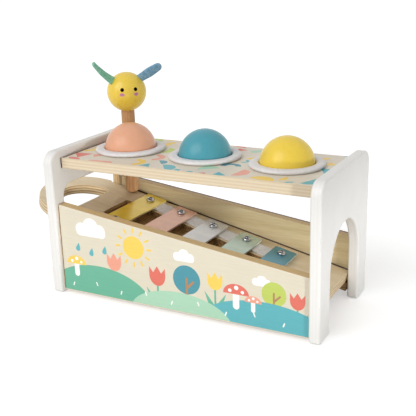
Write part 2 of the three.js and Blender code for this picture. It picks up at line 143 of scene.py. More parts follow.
# Keys, felt strips and screws
KEY_COLOURS = {
    "yellow": (238, 207, 72), "pink": (233, 182, 157), "white": (226, 224, 221),
    "mint": (198, 217, 200), "blue": (84, 151, 170),
}
FIRST_KEY = 59
KEY_PITCH = 37.11
KEY_HALF = 41.2
KEY_SHORTENING = 2.25
KEY_WIDTH = 22
KEY_BASE = 2.1
KEY_THICKNESS = 2.2
KEY_CORNER = 1.5
KEY_EDGE = 0.4
FELT_BASE = 0.3
FELT_THICKNESS = 1.5
FELT_MARGIN = 2.8
FELT_INSET = 3.2
FELT_STEP = 2.7
FELT_END = 9
FELT_EDGE = 0.4
FELT_CORNER = 1
SCREW_BASE = 4.6
SCREW_HEAD_RADIUS = 3.95
SCREW_HEAD_HEIGHT = 3
SCREW_RIM = 0.9
SCREW_BEVEL = 0.25
SCREW_RADIUS = 1.7
SCREW_LENGTH = 11.1
SCREW_TIP = 2.5
BACK_SCREW = 26.9
BACK_SCREW_STEP = 1.8
FRONT_SCREW = 36.4
FRONT_SCREW_STEP = 2.7

# Mallet
MALLET_TURN = radians(33)
FACE_TURN = 8
EYE_TURN, EYE_RISE, EYE_RADII = 20.4, 13.6, (1.9, 1.9)
CHEEK_TURN, CHEEK_RISE, CHEEK_RADII = 20.9, -0.5, (2.4, 1.6)
HANDLE_FIT = 0.4
HANDLE_ROUND = 3.6
HANDLE_SEAT = 0.3
EAR_THICKNESS = 3

# Photograph's camera
CAMERA_AZIMUTH = 28.15
CAMERA_ELEVATION = 17.85
CAMERA_ROLL = radians(-1.65)
CAMERA_DISTANCE = 732.86
CAMERA_TARGET = Vector(((left_low.x + right_high.x) / 2 - 0.73, 6.49, 81.54))
CAMERA_LENS = 67.81
CAMERA_NEAR = 10
SENSOR_WIDTH = 36


def srgb(red, green, blue):
    """A colour given as 0 to 255 display values, as the linear values that shaders take."""
    linear = []
    for value in (red, green, blue):
        share = value / 255
        linear.append(share / 12.92 if share <= 0.04045 else ((share + 0.055) / 1.055) ** 2.4)
    return (*linear, 1)


def dimmed(colour, share):
    return (*(channel * share for channel in colour[:3]), 1)


def toward(azimuth, elevation=0):
    """A direction: its azimuth from the front to the right and its elevation, in degrees."""
    turn, rise = radians(azimuth), radians(elevation)
    return Vector((sin(turn) * cos(rise), -cos(turn) * cos(rise), sin(rise)))


# Shapes

ARC_STEP = radians(6)
ROUND_SIDES = 96
SAME_POINT = 1e-4
ON_AXIS = 1e-6
CUT_TOLERANCE = 1e-5


def rounded(corners):
    """A closed outline through corners (x, y, radius), with round corners."""
    points = []
    for i, (x, y, radius) in enumerate(corners):
        corner = Vector((x, y))
        before = (Vector(corners[i - 1][:2]) - corner).normalized()
        after = (Vector(corners[(i + 1) % len(corners)][:2]) - corner).normalized()
        half = before.angle(after) / 2
        centre = corner + (before + after).normalized() * radius / sin(half)
        start = corner + before * radius / tan(half) - centre
        turn = pi - 2 * half
        if before.cross(after) > 0:
            turn = -turn
        steps = max(1, round(abs(turn) / ARC_STEP))
        for k in range(steps + 1):
            points.append(centre + Matrix.Rotation(turn * k / steps, 2) @ start)
    return [p for i, p in enumerate(points) if (p - points[i - 1]).length > SAME_POINT]


def arc(centre, radii, start, end, steps=8):
    """Points of an ellipse's arc, angles in degrees."""
    points = []
    for k in range(steps + 1):
        angle = radians(start + (end - start) * k / steps)
        points.append((centre[0] + radii[0] * cos(angle), centre[1] + radii[1] * sin(angle)))
    return points


def circle(x, y, radius, sides=72):
    return [Vector(point) for point in arc((x, y), (radius, radius), 0, 360, sides)[:-1]]


def rectangle(left, bottom, right, top):
    return [Vector(corner) for corner in ((left, bottom), (right, bottom), (right, top), (left, top))]


def inset(points, distance):
    """The outline moved to its left."""
    shifted = []
    for i, here in enumerate(points):
        one = (here - points[i - 1]).normalized()
        two = (points[(i + 1) % len(points)] - here).normalized()
        normal = Vector((-one.y - two.y, one.x + two.x))
        shifted.append(here + normal * (2 * distance / normal.length_squared))
    return shifted


def anticlockwise(points):
    area = sum(points[i - 1].cross(p) for i, p in enumerate(points))
    return points if area > 0 else points[::-1]


def cap(mesh, loops, height, down=False, art=(), ink=0):
    """Closes a board with a flat face. Art is a list of (outline, ink), the last one on top."""
    verts = [vert for loop in loops for vert in loop]
    points = [vert.co.xy for vert in verts]
    faces = []
    for loop in loops:
        start = sum(map(len, faces))
        indices = list(range(start, start + len(loop)))
        faces.append(indices[::-1] if faces else indices)
    for outline, _ in art:
        faces.append(list(range(len(points), len(points) + len(outline))))
        points.extend(anticlockwise(outline))
    made, _, triangles, origins, _, sources = geometry.delaunay_2d_cdt(
        points, [], faces, 1, CUT_TOLERANCE)
    corners = []
    for point, origin in zip(made, origins):
        known = [i for i in origin if i < len(verts)]
        corners.append(verts[known[0]] if known else mesh.verts.new((*point, height)))
    for triangle, source in zip(triangles, sources):
        if 0 not in source or any(0 < i < len(loops) for i in source):
            continue
        order = [corners[i] for i in triangle]
        face = mesh.faces.new(order[::-1] if down else order)
        motif = max((i - len(loops) for i in source if i >= len(loops)), default=None)
        face.material_index = ink if motif is None else art[motif][1]


def walls(mesh, rings, ink=0):
    """Quads between rings of vertices, each ring a closed loop."""
    for low, high in zip(rings, rings[1:]):
        for i in range(len(low)):
            face = mesh.faces.new((low[i - 1], low[i], high[i], high[i - 1]))
            face.material_index = ink


def plate(outer, thickness, edge, holes=(), art=(), pocket=None, steps=4):
    """A board from z = 0 up with rounded edges. A pocket is (outline, depth, ink), sunk from above."""
    mesh = bmesh.new()
    turns = [pi / 2 * k / steps for k in range(steps + 1)]
    levels = [(edge * (1 - sin(t)), edge * (1 - cos(t))) for t in turns]
    levels += [(shift, thickness - height) for shift, height in reversed(levels)]
    bottoms, tops = [], []
    for loop in [outer, *(hole[::-1] for hole in holes)]:
        rings = []
        for shift, height in levels:
            rings.append([mesh.verts.new((*point, height)) for point in inset(loop, shift)])
        walls(mesh, rings)
        bottoms.append(rings[0])
        tops.append(rings[-1])
    cap(mesh, bottoms, 0, down=True)
    if pocket:
        outline, depth, ink = pocket
        heights = (thickness - depth, thickness)
        floor, rim = [[mesh.verts.new((*p, z)) for p in reversed(outline)] for z in heights]
        walls(mesh, [floor, rim], ink)
        cap(mesh, [floor[::-1]], thickness - depth, ink=ink)
        tops.append(rim)
    cap(mesh, tops, thickness, art=art)
    return mesh


def turned(profile, sides, closed=False):
    """A body of revolution about Z from (radius, height) pairs, the outer side going up."""
    mesh = bmesh.new()
    rings = []
    for radius, height in profile:
        points = [(0, 0)] if radius < ON_AXIS else circle(0, 0, radius, sides)
        rings.append([mesh.verts.new((*point, height)) for point in points])
    if closed:
        rings.append(rings[0])
    for low, high in zip(rings, rings[1:]):
        for i in range(sides):
            quad = (low[(i - 1) % len(low)], low[i % len(low)],
                    high[i % len(high)], high[(i - 1) % len(high)])
            mesh.faces.new(tuple(dict.fromkeys(quad)))
    return mesh


def ball(radius):
    profile = arc((0, 0), (radius, radius), -90, 90, ROUND_SIDES // 2)
    return turned([(abs(r), z) for r, z in profile], ROUND_SIDES)


def new_object(name, data):
    obj = bpy.data.objects.new(name, data)
    bpy.context.scene.collection.objects.link(obj)
    return obj


def mesh_data(name, mesh):
    data = bpy.data.meshes.new(name)
    mesh.to_mesh(data)
    mesh.free()
    return data


def piece(name, mesh, materials, body, node, place, weighted=True):
    """A finished piece: in metres, smooth, in place, riding on its body in place of its node."""
    mesh.normal_update()
    data = mesh_data(name, mesh)
    data.transform(Matrix.Scale(MM, 4))
    data.shade_smooth()
    for material in materials:
        data.materials.append(material)
    settle(name, data, body, node, place, weighted)


def settle(name, data, body, node, place, weighted):
    obj = new_object(name, data)
    if weighted:
        normals = obj.modifiers.new("normals", "WEIGHTED_NORMAL")
        normals.keep_sharp = True
    move = place.copy()
    move.translation *= MM
    obj.matrix_world = move
    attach(obj, body)
    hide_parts(node)


def frame_of(x_axis, y_axis, z_axis, origin):
    """A placement whose axes point along the given directions."""
    axes = Matrix((x_axis, y_axis, z_axis)).transposed().to_4x4()
    axes.translation = origin
    return axes


# Materials


def node(tree, kind, inputs=None, **settings):
    made = tree.nodes.new(kind)
    for key, value in settings.items():
        setattr(made, key, value)
    for socket, value in (inputs or {}).items():
        if isinstance(value, bpy.types.NodeSocket):
            tree.links.new(value, made.inputs[socket])
        else:
            made.inputs[socket].default_value = value
    return made


def sockets(material):
    return material.node_tree.nodes["Principled BSDF"].inputs


def new_material(name, **values):
    """A material with one Principled shader, and its values that are the same all over."""
    material = bpy.data.materials.new(name)
    material.use_nodes = True
    for socket, value in values.items():
        sockets(material)[socket.replace("_", " ")].default_value = value
    return material, material.node_tree


def local(tree, output="Object"):
    return node(tree, "ShaderNodeTexCoord").outputs[output]


def height_in(tree, output="Object"):
    """The Z of a point in the piece's own frame, or of its normal."""
    return node(tree, "ShaderNodeSeparateXYZ", {0: local(tree, output)}).outputs["Z"]


def math_node(tree, operation, one, two=0, clamp=False):
    made = node(tree, "ShaderNodeMath", {0: one, 1: two}, operation=operation, use_clamp=clamp)
    return made.outputs[0]


def times(tree, value, share):
    return math_node(tree, "MULTIPLY", value, share)


def ranged(tree, value, low, high, out_low=0, out_high=1):
    inputs = {"Value": value, "From Min": low, "From Max": high, "To Min": out_low, "To Max": out_high}
    return node(tree, "ShaderNodeMapRange", inputs, interpolation_type="SMOOTHSTEP").outputs["Result"]


MIX_FACTOR, MIX_ONE, MIX_TWO, MIX_RESULT = 0, 6, 7, 2


def mixed(tree, factor, one, two):
    """A mix of two colours, by the colour sockets of the mix node."""
    inputs = {MIX_FACTOR: factor, MIX_ONE: one, MIX_TWO: two}
    return node(tree, "ShaderNodeMix", inputs, data_type="RGBA").outputs[MIX_RESULT]


def noise(tree, scale, detail=4, roughness=0.55, distortion=0, stretch=(1, 1, 1)):
    """Noise in the piece's own frame, with scale in lumps per millimetre."""
    mapped = node(tree, "ShaderNodeMapping", {"Vector": local(tree), "Scale": [s / MM for s in stretch]})
    inputs = {"Vector": mapped.outputs[0], "Scale": scale, "Detail": detail,
              "Roughness": roughness, "Distortion": distortion}
    return node(tree, "ShaderNodeTexNoise", inputs).outputs["Fac"]


def surface(material, colour, roughness, relief, strength, depth):
    """The material with its colour, its roughness and a bump of some depth in millimetres."""
    tree = material.node_tree
    bump = node(tree, "ShaderNodeBump", {"Height": relief, "Strength": strength, "Distance": depth * MM})
    links = {"Base Color": colour, "Roughness": roughness, "Normal": bump.outputs["Normal"]}
    for socket, value in links.items():
        tree.links.new(value, sockets(material)[socket])
    return material


def face_mask(tree, low=0.55, high=0.8):
    """1 on a board's two broad faces, 0 on its edges."""
    return ranged(tree, math_node(tree, "ABSOLUTE", height_in(tree, "Normal")), low, high)


PLIES = 7


def ply_lines(tree, thickness):
    """Alternating layers through a board's thickness, with a little waviness."""
    height = height_in(tree)
    wander = ranged(tree, noise(tree, 0.05), 0, 1, -0.25, 0.25)
    turns = times(tree, height, pi * PLIES / (thickness * MM))
    wave = math_node(tree, "SINE", math_node(tree, "ADD", turns, wander))
    return ranged(tree, wave, -0.6, 0.6)


GRAIN_ALONG_X = (0.05, 1, 1)
GRAIN_ALONG_Y = (1, 0.05, 1)
GRAIN_ALONG_Z = (1, 1, 0.05)
EDGE_FIBRE = (0.06, 0.06, 1)


def ply_edge(tree, edge, layer, thickness, fibre_share):
    """The cut edge of plywood: its layers, and the fibres in them."""
    fibre = ranged(tree, noise(tree, 1.2, 4, 0.6, 0, EDGE_FIBRE), 0.3, 0.7, 0, fibre_share)
    return mixed(tree, fibre, mixed(tree, ply_lines(tree, thickness), edge, layer), layer)


def plywood(name, face, streak, edge, layer, thickness, shaded_height=0):
    """Bare plywood: grain on the faces, layers on the edges, and a brown band of painted shade on the edges
    up to the given height.
    """
    material, tree = new_material(name)
    fine = ranged(tree, noise(tree, 0.9, 6, 0.65, 0.4, GRAIN_ALONG_X), 0.3, 0.75)
    broad = ranged(tree, noise(tree, 0.16, 3, 0.5, 0.8, GRAIN_ALONG_X), 0.35, 0.7)
    figure = times(tree, math_node(tree, "ADD", fine, broad), 0.5)
    grained = mixed(tree, figure, face, streak)
    cut_edge = ply_edge(tree, edge, layer, thickness, 0.5)
    # Painted shade: the edges turn brown up to the given height.
    if shaded_height:
        shade_band = ranged(tree, height_in(tree), (shaded_height - EDGE_SHADE_BLUR) * MM, (shaded_height + EDGE_SHADE_BLUR) * MM, 1, 0)
        cut_edge = mixed(tree, shade_band, cut_edge, EDGE_SHADE)
    mask = face_mask(tree)
    relief = times(tree, fine, mask)
    rough = ranged(tree, relief, 0, 1, 0.49, 0.65)
    return surface(material, mixed(tree, mask, cut_edge, grained), rough, relief, 0.25, 0.05)


def print_ink(name, colour):
    """Ink printed on wood: the grain just shows through, and the ink is a little uneven."""
    material, tree = new_material(name)
    grain = ranged(tree, noise(tree, 0.8, 5, 0.6, 0.3, GRAIN_ALONG_X), 0.3, 0.75)
    speck = ranged(tree, noise(tree, 1.6, 3, 0.7), 0.35, 0.7)
    pale = (*(1 - (1 - channel) * 0.86 for channel in colour[:3]), 1)
    worn = mixed(tree, times(tree, speck, 0.12), colour, pale)
    tone = mixed(tree, times(tree, grain, 0.24), worn, dimmed(colour, 0.78))
    return surface(material, tone, ranged(tree, grain, 0, 1, 0.37, 0.5), grain, 0.12, 0.04)


def printed_ground(name, colour, edge, layer, corner, thickness):
    """The ground of a printed board: printed on its faces, bare on its edges, and tan between them."""
    material, tree = new_material(name)
    grain = ranged(tree, noise(tree, 0.7, 6, 0.62, 0.5, GRAIN_ALONG_X), 0.3, 0.75)
    printed = mixed(tree, times(tree, grain, 0.3), colour, dimmed(colour, 0.74))
    cut_edge = ply_edge(tree, edge, layer, thickness, 0.45)
    rim = math_node(tree, "SUBTRACT", face_mask(tree, 0.25, 0.5), face_mask(tree, 0.86, 0.98), True)
    body = mixed(tree, face_mask(tree, 0.5, 0.7), cut_edge, printed)
    rough = ranged(tree, grain, 0, 1, 0.4, 0.55)
    return surface(material, mixed(tree, rim, body, corner), rough, grain, 0.15, 0.04)


def white_paint(name, thickness):
    """Satin white paint, with the layers of the plywood just showing on the edges."""
    material, tree = new_material(name, Specular_IOR_Level=0.45)
    paint, shade = srgb(234, 232, 228), srgb(216, 212, 206)
    mottled = ranged(tree, noise(tree, 0.05, 3), 0.3, 0.7, 0, 0.18)
    faces = mixed(tree, mottled, paint, shade)
    lines = times(tree, ply_lines(tree, thickness), 0.14)
    edges = mixed(tree, lines, paint, shade)
    peel = noise(tree, 0.6, 3, 0.6)
    rough = ranged(tree, peel, 0.2, 0.8, 0.36, 0.5)
    return surface(material, mixed(tree, face_mask(tree), edges, faces), rough, peel, 0.18, 0.06)


def gloss_paint(name, colour):
    """Lacquered wood: a little uneven in tone, with a soft coat."""
    material, tree = new_material(name, Specular_IOR_Level=0.2, Coat_Weight=0.3, Coat_Roughness=0.25)
    tone = ranged(tree, noise(tree, 0.06, 3), 0.3, 0.7)
    paint = mixed(tree, tone, colour, dimmed(colour, 0.93))
    grain = noise(tree, 0.35, 4, 0.6, 0.5, (1, 1, 0.12))
    return surface(material, paint, ranged(tree, grain, 0.2, 0.8, 0.25, 0.4), grain, 0.03, 0.05)


def rubber(name):
    """Pale soft rubber that lets a little light in, with some dust on it."""
    material, tree = new_material(name, Subsurface_Weight=0.12, Subsurface_Scale=2 * MM)
    dust = ranged(tree, noise(tree, 0.25, 4), 0.35, 0.7, 0, 0.35)
    tone = mixed(tree, dust, srgb(226, 223, 222), srgb(206, 202, 201))
    pores = noise(tree, 1.1, 3, 0.6)
    return surface(material, tone, ranged(tree, pores, 0.2, 0.8, 0.42, 0.58), pores, 0.15, 0.05)


def key_paint(name, colour):
    """Painted sheet metal, with the bare metal showing on the cut edges."""
    material, tree = new_material(name, Metallic=0.25, Specular_IOR_Level=0.6)
    tone = ranged(tree, noise(tree, 0.08, 3), 0.3, 0.7)
    paint = mixed(tree, tone, colour, dimmed(colour, 0.9))
    bare = mixed(tree, ranged(tree, noise(tree, 0.9), 0.4, 0.6), srgb(206, 204, 199), colour)
    grit = noise(tree, 1.4, 3, 0.6)
    rough = ranged(tree, grit, 0.2, 0.8, 0.15, 0.26)
    return surface(material, mixed(tree, face_mask(tree, 0.15, 0.4), bare, paint), rough, grit, 0.08, 0.04)


def felt(name, colour, light):
    """Pressed felt: tangled fibres, flecked and matt."""
    material, tree = new_material(name, Sheen_Weight=0.35, Sheen_Roughness=0.5, Specular_IOR_Level=0.2)
    fibres = noise(tree, 1.5, 6, 0.7, 1.6, (1, 0.45, 1))
    lumps = noise(tree, 0.35, 4, 0.6)
    fleck = ranged(tree, math_node(tree, "ADD", fibres, lumps), 0.8, 1.25)
    rough = ranged(tree, fibres, 0.2, 0.8, 0.86, 0.98)
    return surface(material, mixed(tree, fleck, colour, light), rough, fibres, 0.7, 0.25)


def bright_steel(name):
    """Bright zinc plate with faint turning marks."""
    material, tree = new_material(name, Metallic=1)
    marks = noise(tree, 0.8, 4, 0.6, 0, (1, 1, 4))
    tone = mixed(tree, ranged(tree, marks, 0.3, 0.7), srgb(212, 214, 218), srgb(140, 143, 149))
    return surface(material, tone, ranged(tree, marks, 0.2, 0.8, 0.08, 0.2), marks, 0.1, 0.03)


def stick_wood(name):
    """Oiled beech with its grain along Z and the small flecks of its rays."""
    material, tree = new_material(name, Specular_IOR_Level=0.2)
    grain = ranged(tree, noise(tree, 0.7, 6, 0.62, 0.6, GRAIN_ALONG_Z), 0.3, 0.72)
    rays = ranged(tree, noise(tree, 1.4, 2, 0.5, 0, (1, 1, 0.25)), 0.62, 0.72, 0, 0.3)
    body = mixed(tree, grain, srgb(204, 160, 115), srgb(172, 127, 86))
    flecked = mixed(tree, rays, body, srgb(128, 90, 58))
    return surface(material, flecked, ranged(tree, grain, 0, 1, 0.42, 0.56), grain, 0.2, 0.05)


def pocket_wood(name):
    """The cross-grained layer in the floor of the pocket, darker and open-pored."""
    material, tree = new_material(name)
    lines = ranged(tree, noise(tree, 0.75, 6, 0.7, 0.2, GRAIN_ALONG_Y), 0.36, 0.66)
    tone = mixed(tree, lines, srgb(208, 162, 100), srgb(112, 77, 40))
    return surface(material, tone, ranged(tree, lines, 0, 1, 0.6, 0.8), lines, 0.6, 0.2)


PALE_EDGE, PALE_LAYER = srgb(229, 214, 188), srgb(219, 199, 167)
TAN_EDGE, TAN_LAYER = srgb(240, 222, 188), srgb(186, 156, 110)
PANEL_TAN, PANEL_LAYER = srgb(214, 185, 134), srgb(206, 174, 121)
# Painted shade on the back panel's edges: its colour, its blur and its height from the rear face.
EDGE_SHADE = srgb(92, 70, 48)
EDGE_SHADE_BLUR = 0.5
EDGE_SHADE_HEIGHT = 3

side_paint = white_paint("white_paint", SIDE_THICKNESS)
bare_ply = plywood(
    "bare_plywood", srgb(231, 214, 183), srgb(216, 195, 159), TAN_EDGE, TAN_LAYER, BOARD_THICKNESS)
panel_ply = plywood(
    "panel_plywood", srgb(246, 225, 186), srgb(222, 195, 150), PANEL_TAN, PANEL_LAYER, PANEL_THICKNESS)
board_ground = printed_ground(
    "board_print", srgb(226, 216, 198), PALE_EDGE, PALE_LAYER, srgb(214, 196, 164), TOP_THICKNESS)
# The back panel's edges carry a brown band of painted shade along their rear side, where the top board
# shades the top edge.
back_ply = plywood(
    "back_plywood", srgb(232, 217, 178), srgb(208, 188, 142), PANEL_TAN, PANEL_LAYER, PANEL_THICKNESS,
    EDGE_SHADE_HEIGHT)
# The runners under the sliding board are a darker brown copy of the plywood: painted shade under the board.
RUNNER_SHADED_FACE, RUNNER_SHADED_STREAK = srgb(150, 118, 76), srgb(118, 90, 56)
runner_ply = plywood(
    "runner_plywood", RUNNER_SHADED_FACE, RUNNER_SHADED_STREAK, RUNNER_SHADED_FACE, RUNNER_SHADED_STREAK, PANEL_THICKNESS)
doorway_ply = plywood(
    "doorway_plywood", srgb(234, 214, 180), srgb(220, 196, 156), srgb(226, 202, 158), srgb(204, 176, 128),
    SIDE_THICKNESS)
ring_rubber = rubber("ring_rubber")
white_felt = felt("white_felt", srgb(224, 220, 219), srgb(246, 244, 243))
steel = bright_steel("bright_steel")
pocket_floor = pocket_wood("pocket_wood")

# Two inks are painted shade: the dark brown one along the joints with the side panels, and shade in the
# groove behind the sliding board.
INK_COLOURS = {
    "coral": (222, 112, 96), "rose": (235, 160, 136), "yellow": (243, 206, 92),
    "teal": (92, 176, 184), "sea": (72, 146, 160), "green": (104, 178, 150),
    "mint": (172, 212, 184), "lime": (190, 205, 96), "white": (250, 248, 243),
    "wood": (176, 130, 92), "cream": (221, 212, 191), "joint_shade": (104, 66, 30),
    "shade": (84, 58, 34),
}
inks = {name: print_ink(f"ink_{name}", srgb(*colour)) for name, colour in INK_COLOURS.items()}
INK_INDEX = {name: i + 1 for i, name in enumerate(INK_COLOURS)}


# Bench: side panels

ACROSS_X = ((0, 1, 0), (0, 0, 1), (1, 0, 0))
FLAT = 0.9


def side_panel(side, low, width, height, corner, bare_opening):
    half, gap = SIDE_DEPTH / 2, width / 2
    outline = rounded([
        (-half, 0, FOOT_CORNER), (-gap, 0, FOOT_CORNER), (-gap, height, corner),
        (gap, height, corner), (gap, 0, FOOT_CORNER), (half, 0, FOOT_CORNER),
        (half, SIDE_HEIGHT, SIDE_CORNER), (-half, SIDE_HEIGHT, SIDE_CORNER),
    ])
    mesh = plate(outline, SIDE_THICKNESS, SIDE_EDGE, steps=6)
    if bare_opening:
        mesh.normal_update()
        for face in mesh.faces:
            middle = face.calc_center_median()
            in_doorway = abs(middle.x) < gap + SIDE_EDGE and FOOT_CORNER < middle.y < height + SIDE_EDGE
            if in_doorway and abs(face.normal.z) < FLAT:
                face.material_index = 1
    piece(f"{side}_side", mesh, [side_paint, doorway_ply],
          "bench", f"{side}_side_panel", frame_of(*ACROSS_X, (low.x, 0, 0)))


side_panel("left", left_low, DOOR_WIDTH, DOOR_HEIGHT, DOOR_CORNER, bare_opening=True)
side_panel("right", right_low, ARCH_WIDTH, ARCH_HEIGHT, ARCH_WIDTH / 2, bare_opening=False)


# Printed motifs


def disc(x, y, radius):
    return circle(x, y, radius, 40)


def moved(points, x, y, angle):
    turn = Matrix.Rotation(radians(angle), 2)
    return [turn @ Vector(point) + Vector((x, y)) for point in points]


def half_disc(x, y, radius, angle):
    return moved(arc((0, 0), (radius, radius), 0, 180, 20), x, y, angle)


def bean(x, y, length, width, angle):
    """A bar with round ends."""
    straight = (length - width) / 2
    right = arc((straight, 0), (width / 2, width / 2), -90, 90, 12)
    left = arc((-straight, 0), (width / 2, width / 2), 90, 270, 12)
    return moved(right + left, x, y, angle)


def drop(x, y, length, width, angle):
    """A drop with its point up."""
    round_end = arc((0, 0), (width / 2, width / 2), 180, 360, 16)
    point = [(width * 0.3, length * 0.36), (0, length - width / 2), (-width * 0.3, length * 0.36)]
    return moved(round_end + point, x, y, angle)


def wedge(x, y, size, angle):
    return moved([(-size / 2, -size * 0.4), (size / 2, -size * 0.4), (0, size * 0.55)], x, y, angle)


def clipped(points, edges):
    """The part of an outline inside a convex one."""
    kept = [Vector(point) for point in points]
    for i, end in enumerate(edges):
        start = edges[i - 1]
        along = end - start
        result = []
        for j, here in enumerate(kept):
            last = kept[j - 1]
            here_in = along.cross(here - start) >= 0
            if here_in != (along.cross(last - start) >= 0):
                share = along.cross(start - last) / along.cross(here - last)
                result.append(last.lerp(here, share))
            if here_in:
                result.append(here)
        kept = result
    return kept


def printable(art, inside):
    """The motifs cut off at the edge of the print, without those that lie outside it."""
    cut = [(clipped(shape, inside), ink) for shape, ink in art]
    return [(shape, ink) for shape, ink in cut if len(shape) > 2]


def inked(*parts):
    """Motifs from pairs of an outline and the name of its ink."""
    return [(shape, INK_INDEX[ink]) for shape, ink in parts]


# Bench: top board, printed with a scatter of plain shapes

ball_places = {}
for name in BALL_NAMES:
    low, high = box_mm(f"ball_{name}")
    ball_places[name] = (low + high) / 2
BALL_RADIUS = (high.x - low.x) / 2
mallet_axis = (handle_low + handle_high) / 2
HANDLE_RADIUS = (handle_high.x - handle_low.x) / 2
MALLET_HOLE = HANDLE_RADIUS + HANDLE_FIT

# Widths of the painted shade along the joints with the side panels, at the ends and at the left front
# corner.
END_SHADE = 3.6
CORNER_SHADE = 1.5
FACING = 0.5
LEANING = 0.05
SCATTER_SEED = 3
SCATTER_CLEAR = 1
SCATTER_PAST = 2
SCATTER_KINDS = ("half_disc", "bean", "wedge", "arch")
ARCH_GAP = 0.45
PRINT_MARGIN = TOP_EDGE + 0.3
SCATTER_PASSES = ((1200, 18, 24), (2000, 10.5, 13.5))
board_outline = [Vector((x, y)) for x, y in (
    (top_low.x, top_low.y), (top_low.x + CORNER_SHADE, top_low.y), (top_high.x, top_low.y),
    (top_high.x, top_high.y), (top_low.x, top_high.y))]
scatter_inks = {
    "left": ("coral", "rose", "lime", "coral", "yellow"),
    "middle": ("teal", "sea", "coral", "mint"),
    "right": ("yellow", "teal", "rose", "yellow"),
}


def shaded_ends():
    """Brown lines of painted shade across the board, along its joints with both side panels."""
    spans = ((left_high.x, left_high.x + END_SHADE), (right_low.x - END_SHADE, right_low.x))
    return inked(*((rectangle(start, top_low.y, end, top_high.y), "joint_shade") for start, end in spans))


def scatter_shape(kind, x, y, size, angle):
    if kind == "bean":
        return bean(x, y, size * 1.1, size * 0.42, angle)
    if kind == "wedge":
        return wedge(x, y, size, angle)
    return half_disc(x, y, size / 2, angle)


def scatter():
    """Plain shapes between the ring holes and the edges of the board, none touching another.

    An arch is a half disc whose middle is printed over with the ground.
    """
    chance = random.Random(SCATTER_SEED)
    taken = [(place.x, place.y, RING_HOLE) for place in ball_places.values()]
    taken.append((mallet_axis.x, mallet_axis.y, MALLET_HOLE))
    art = []
    sizes = [chance.uniform(*span) for tries, *span in SCATTER_PASSES for _ in range(tries)]
    for size in sizes:
        x = chance.uniform(top_low.x - SCATTER_PAST, top_high.x + SCATTER_PAST)
        y = chance.uniform(top_low.y - SCATTER_PAST, top_high.y + SCATTER_PAST)
        kind = chance.choice(SCATTER_KINDS)
        angle = chance.uniform(0, 360)
        nearest = min(BALL_NAMES, key=lambda name: abs(ball_places[name].x - x))
        ink = chance.choice(scatter_inks[nearest])
        reach = size / 2
        if any(hypot(x - a, y - b) < r + reach + SCATTER_CLEAR for a, b, r in taken):
            continue
        taken.append((x, y, reach))
        art.append((scatter_shape(kind, x, y, size, angle), INK_INDEX[ink]))
        if kind == "arch":
            art.append((half_disc(x, y, reach * ARCH_GAP, angle), 0))
    return printable(art + shaded_ends(), inset(board_outline, PRINT_MARGIN))


holes = [circle(place.x, place.y, RING_HOLE) for place in ball_places.values()]
holes.append(circle(mallet_axis.x, mallet_axis.y, MALLET_HOLE, 48))
top_mesh = plate(board_outline, TOP_THICKNESS, TOP_EDGE, holes, scatter())
top_mesh.normal_update()
# Painted shade: the board's end faces and its left front corner, against the side panels, take the dark
# brown ink.
for face in top_mesh.faces:
    middle = face.calc_center_median()
    at_corner = face.normal.y < -FACING and middle.x < top_low.x + CORNER_SHADE
    at_end = not top_low.x + PRINT_MARGIN < middle.x < top_high.x - PRINT_MARGIN
    if at_corner or at_end and abs(face.normal.x) > LEANING:
        face.material_index = INK_INDEX["joint_shade"]
piece("top_board_printed", top_mesh, [board_ground, *inks.values()],
      "bench", "top_board", Matrix.Translation((0, 0, top_low.z)))


# Bench: front and back panels

UPRIGHT = ((1, 0, 0), (0, 0, 1), (0, -1, 0))
PRINTED_ROUND = 0.3
TOP_ROUND = 0.1
HILL_SUNK = 6
BLADES = 9
PRINT_GAP = 0.02


def panel_outline(low, high, corner):
    return rounded([
        (low.x, low.z, PLAIN_CORNER), (high.x, low.z, PLAIN_CORNER),
        (high.x, PANEL_RIGHT_HEIGHT, PLAIN_CORNER), (low.x, high.z, corner),
    ])


front_outline = panel_outline(front_low, front_high, PANEL_CORNER)


def cloud():
    """Overlapping discs on a flat base."""
    puffs = [disc(-0.55, 0, 0.34), disc(0, 0.16, 0.46), disc(0.52, 0.02, 0.32)]
    return [(shape, "white") for shape in [*puffs, bean(0, -0.12, 1.7, 0.44, 0)]]


def sun():
    """A disc with twelve rays."""
    rays = enumerate(arc((0, 0), (1.5, 1.5), 0, 330, 11))
    shapes = [disc(0, 0, 1), *(bean(x, y, 0.5, 0.17, 30 * k) for k, (x, y) in rays)]
    return [(shape, "yellow") for shape in shapes]


def tulip(ink):
    """A cup of three pointed petals on a stem with two leaves."""
    stem = bean(0, -1.1, 1.9, 0.13, 90)
    leaves = [(drop(side * 0.3, -1.62, 1.15, 0.36, -side * 28), "green") for side in (-1, 1)]
    cup = arc((0, 0), (0.52, 0.62), 180, 360, 24)
    petals = [(0.52, 0.5), (0.26, 0.16), (0, 0.56), (-0.26, 0.16), (-0.52, 0.5)]
    return [(stem, "green"), *leaves, (cup + petals, ink)]


def toadstool(ink):
    stalk = bean(0, -0.35, 0.95, 0.36, 90)
    hood = arc((0, 0), (0.72, 0.56), 0, 180, 28)
    spots = [disc(-0.34, 0.17, 0.1), disc(0.02, 0.36, 0.12), disc(0.36, 0.16, 0.09)]
    return [(stalk, "white"), (hood, ink), *((spot, "white") for spot in spots)]


def round_tree(ink):
    """A round crown on a trunk, with one branch."""
    trunk, limb = bean(0, -1.05, 1.5, 0.16, 90), bean(0, -0.4, 1, 0.1, 90)
    branch = bean(0.16, -0.2, 0.5, 0.1, 45)
    return [(trunk, "wood"), (disc(0, 0, 0.62), ink), (limb, "wood"), (branch, "wood")]


def hill(width, height, ink):
    return [(arc((0, front_low.z - HILL_SUNK), (width / 2, height + HILL_SUNK), 0, 180, 48), ink)]


def rain():
    return [(drop(0, 0, 8.5, 5, -12), "teal")]


def blade(angle):
    return [(bean(0, 0, 4.2, 1.3, angle), "white")]


